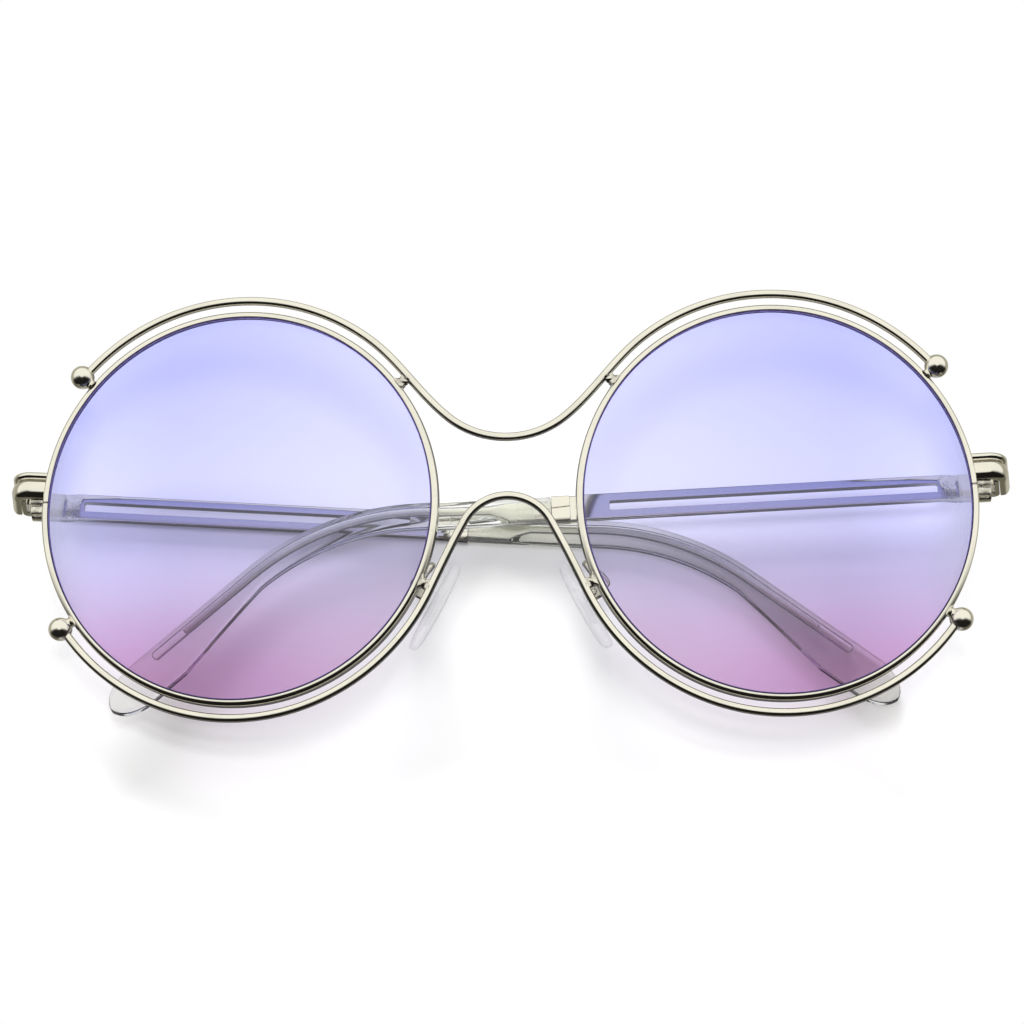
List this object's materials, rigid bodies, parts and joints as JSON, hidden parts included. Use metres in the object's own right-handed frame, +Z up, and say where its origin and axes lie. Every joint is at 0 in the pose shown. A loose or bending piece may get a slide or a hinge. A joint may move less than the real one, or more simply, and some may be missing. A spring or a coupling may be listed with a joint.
{
  "type": "round sunglasses",
  "caption": "Folded round sunglasses with thin double wires, gradient tinted lenses, slotted metal temples with clear tips, and clear nose pads.",
  "frame": {"origin": "on the table under the lower (left) temple's flat outer side, where its centre line crosses the glasses' middle plane", "axes": "+X across to the wearer's front right as seen from the front, +Y from the lower rims to the brow, +Z up from the table to the lenses; folded, lying on the temples"},
  "size_m": [0.145, 0.0618, 0.021],
  "materials": {
    "polished_nickel_silver": "polished pale metal with a slightly warm tone",
    "satin_nickel": "satin, small pressed and soldered metal parts",
    "tinted_lens": "clear gloss, periwinkle blue at the top fading to pink at the bottom",
    "clear_tip": "water-clear gloss plastic",
    "clear_silicone": "soft clear silicone, smooth"
  },
  "bodies": {
    "front": {"brow_wire": "polished_nickel_silver", "lower_wire": "polished_nickel_silver", "left_brow_ball": "polished_nickel_silver", "left_brow_stud": "polished_nickel_silver", "left_closing_screw": "satin_nickel", "left_endpiece": "polished_nickel_silver", "left_eyewire": "polished_nickel_silver", "left_hinge_front_half": "satin_nickel", "left_hinge_screw": "satin_nickel", "left_lens": "tinted_lens", "left_lower_ball": "polished_nickel_silver", "left_lower_closing_block": "satin_nickel", "left_lower_stud": "polished_nickel_silver", "left_pad_arm": "satin_nickel", "left_pad_box": "satin_nickel", "left_pad_screw": "satin_nickel", "left_upper_closing_block": "satin_nickel", "right_brow_ball": "polished_nickel_silver", "right_brow_stud": "polished_nickel_silver", "right_closing_screw": "satin_nickel", "right_endpiece": "polished_nickel_silver", "right_eyewire": "polished_nickel_silver", "right_hinge_front_half": "satin_nickel", "right_hinge_screw": "satin_nickel", "right_lens": "tinted_lens", "right_lower_ball": "polished_nickel_silver", "right_lower_closing_block": "satin_nickel", "right_lower_stud": "polished_nickel_silver", "right_pad_arm": "satin_nickel", "right_pad_box": "satin_nickel", "right_pad_screw": "satin_nickel", "right_upper_closing_block": "satin_nickel"},
    "left_temple_body": {"left_temple": "polished_nickel_silver", "left_temple_tip": "clear_tip", "left_hinge_temple_half": "satin_nickel"},
    "right_temple_body": {"right_temple": "polished_nickel_silver", "right_temple_tip": "clear_tip", "right_hinge_temple_half": "satin_nickel"},
    "left_pad_body": {"left_nose_pad": "clear_silicone", "left_pad_insert": "clear_tip"},
    "right_pad_body": {"right_nose_pad": "clear_silicone", "right_pad_insert": "clear_tip"}
  },
  "joints": [
    {"name": "left_temple_fold", "type": "hinge", "parent": "front", "child": "left_temple_body", "pos_m": [-0.06974, 0.0042, 0.00256], "axis": [0.0602, 0.9982, 0], "range_deg": [0, 94.8]},
    {"name": "right_temple_fold", "type": "hinge", "parent": "front", "child": "right_temple_body", "pos_m": [0.06997, 0.0053, 0.00567], "axis": [0.0523, -0.9986, 0], "range_deg": [0, 97.04]},
    {"name": "left_pad_rock", "type": "hinge", "parent": "front", "child": "left_pad_body", "pos_m": [-0.01181, -0.01123, 0.00565], "axis": [0.1938, -0.2475, 0.9493], "range_deg": [-8, 8]},
    {"name": "right_pad_rock", "type": "hinge", "parent": "front", "child": "right_pad_body", "pos_m": [0.01219, -0.01123, 0.00615], "axis": [-0.2333, -0.2475, 0.9404], "range_deg": [-8, 8]}
  ]
}
